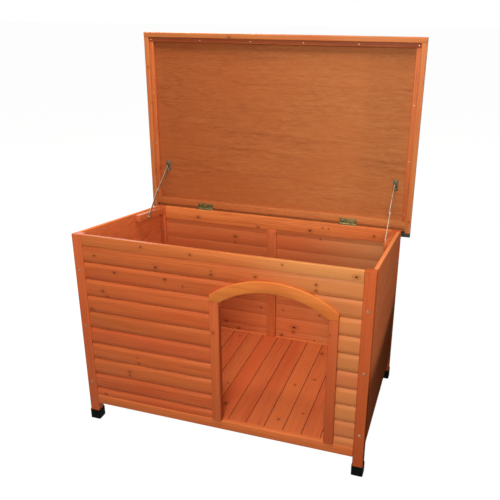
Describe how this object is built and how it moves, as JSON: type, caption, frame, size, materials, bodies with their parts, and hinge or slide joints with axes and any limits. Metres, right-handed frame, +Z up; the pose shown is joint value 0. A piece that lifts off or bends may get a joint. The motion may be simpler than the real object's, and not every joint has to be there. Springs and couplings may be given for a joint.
{
  "type": "dog house",
  "caption": "Stained wooden dog house with slatted walls, an arched off-centre doorway, a plank floor and a flat roof that lifts as a hinged lid on folding stays.",
  "frame": {"origin": "on the ground under the middle of the bounding box, with the lid open as pictured", "axes": "+X to the right as seen from the doorway, +Y to the back wall, +Z up; the doorway faces -Y"},
  "size_m": [1.04, 0.6664, 1.2883],
  "materials": {
    "frame_pine": "stained and lacquered, satin",
    "slat_pine": "stained and lacquered, satin",
    "floor_pine": "stained, satin",
    "stained_plywood": "stained, matt",
    "roofing_felt": "bitumen felt, mineral surface",
    "black_plastic": "moulded, matt",
    "plated_steel": "yellow passivated plate",
    "zinc_steel": "zinc plated"
  },
  "bodies": {
    "house": {"back_bottom_rail": "frame_pine", "back_slats": "slat_pine", "back_top_rail": "frame_pine", "back_wall_batten": "frame_pine", "door_arch": "frame_pine", "door_jamb_left": "frame_pine", "door_jamb_right": "frame_pine", "floor_bearers": "floor_pine", "floor_planks": "floor_pine", "foot_cap_back_left": "black_plastic", "foot_cap_back_right": "black_plastic", "foot_cap_front_left": "black_plastic", "foot_cap_front_right": "black_plastic", "front_bottom_rail": "frame_pine", "front_slat_01": "slat_pine", "front_slat_02": "slat_pine", "front_slat_03": "slat_pine", "front_slat_04": "slat_pine", "front_slat_05": "slat_pine", "front_slat_06": "slat_pine", "front_slat_07": "slat_pine", "front_slat_08": "slat_pine", "front_slat_09": "slat_pine", "front_slat_10": "slat_pine", "front_top_rail": "frame_pine", "hinge_house_leaf_left": "plated_steel", "hinge_house_leaf_right": "plated_steel", "hinge_pin_left": "plated_steel", "hinge_pin_right": "plated_steel", "hinge_screws_house": "zinc_steel", "post_back_left": "frame_pine", "post_back_right": "frame_pine", "post_front_left": "frame_pine", "post_front_right": "frame_pine", "post_screws": "zinc_steel", "side_panel_left": "stained_plywood", "side_panel_right": "stained_plywood", "stay_block_left": "frame_pine", "stay_block_right": "frame_pine", "stay_pivot_screw_left": "zinc_steel", "stay_pivot_screw_right": "zinc_steel"},
    "lid": {"hinge_lid_leaf_left": "plated_steel", "hinge_lid_leaf_right": "plated_steel", "lid_batten_back": "frame_pine", "lid_batten_front": "frame_pine", "lid_batten_left": "frame_pine", "lid_batten_right": "frame_pine", "lid_deck": "stained_plywood", "lid_fascia_front": "frame_pine", "lid_fascia_left": "frame_pine", "lid_fascia_right": "frame_pine", "lid_felt": "roofing_felt", "lid_nails": "zinc_steel", "lid_screws": "zinc_steel", "stay_bracket_left": "zinc_steel", "stay_bracket_right": "zinc_steel"},
    "stay_lower_arm_left": {"stay_lower_arm_left": "zinc_steel"},
    "stay_lower_arm_right": {"stay_lower_arm_right": "zinc_steel"},
    "stay_upper_arm_left": {"stay_upper_arm_left": "zinc_steel"},
    "stay_upper_arm_right": {"stay_upper_arm_right": "zinc_steel"}
  },
  "joints": [
    {"name": "lid_hinge", "type": "hinge", "parent": "house", "child": "lid", "pos_m": [0, 0.29802, 0.61736], "axis": [1, 0, 0], "range_deg": [0, 82.29]},
    {"name": "stay_lower_pivot_left", "type": "hinge", "parent": "house", "child": "stay_lower_arm_left", "pos_m": [0, 0.12383, 0.62166], "axis": [1, 0, 0], "range_deg": [-71.3, 0.1]},
    {"name": "stay_upper_pivot_left", "type": "hinge", "parent": "lid", "child": "stay_upper_arm_left", "pos_m": [0, 0.30542, 0.7773], "axis": [1, 0, 0], "range_deg": [-0.1, 19.2]},
    {"name": "stay_lower_pivot_right", "type": "hinge", "parent": "house", "child": "stay_lower_arm_right", "pos_m": [0, 0.12383, 0.62166], "axis": [1, 0, 0], "range_deg": [-71.3, 0.1]},
    {"name": "stay_upper_pivot_right", "type": "hinge", "parent": "lid", "child": "stay_upper_arm_right", "pos_m": [0, 0.30542, 0.7773], "axis": [1, 0, 0], "range_deg": [-0.1, 19.2]}
  ],
  "couplings": [
    {"joint": "stay_lower_pivot_left", "follows": "lid_hinge", "ratio": -0.86572},
    {"joint": "stay_upper_pivot_left", "follows": "lid_hinge", "ratio": 0.23272},
    {"joint": "stay_lower_pivot_right", "follows": "lid_hinge", "ratio": -0.86572},
    {"joint": "stay_upper_pivot_right", "follows": "lid_hinge", "ratio": 0.23272}
  ]
}
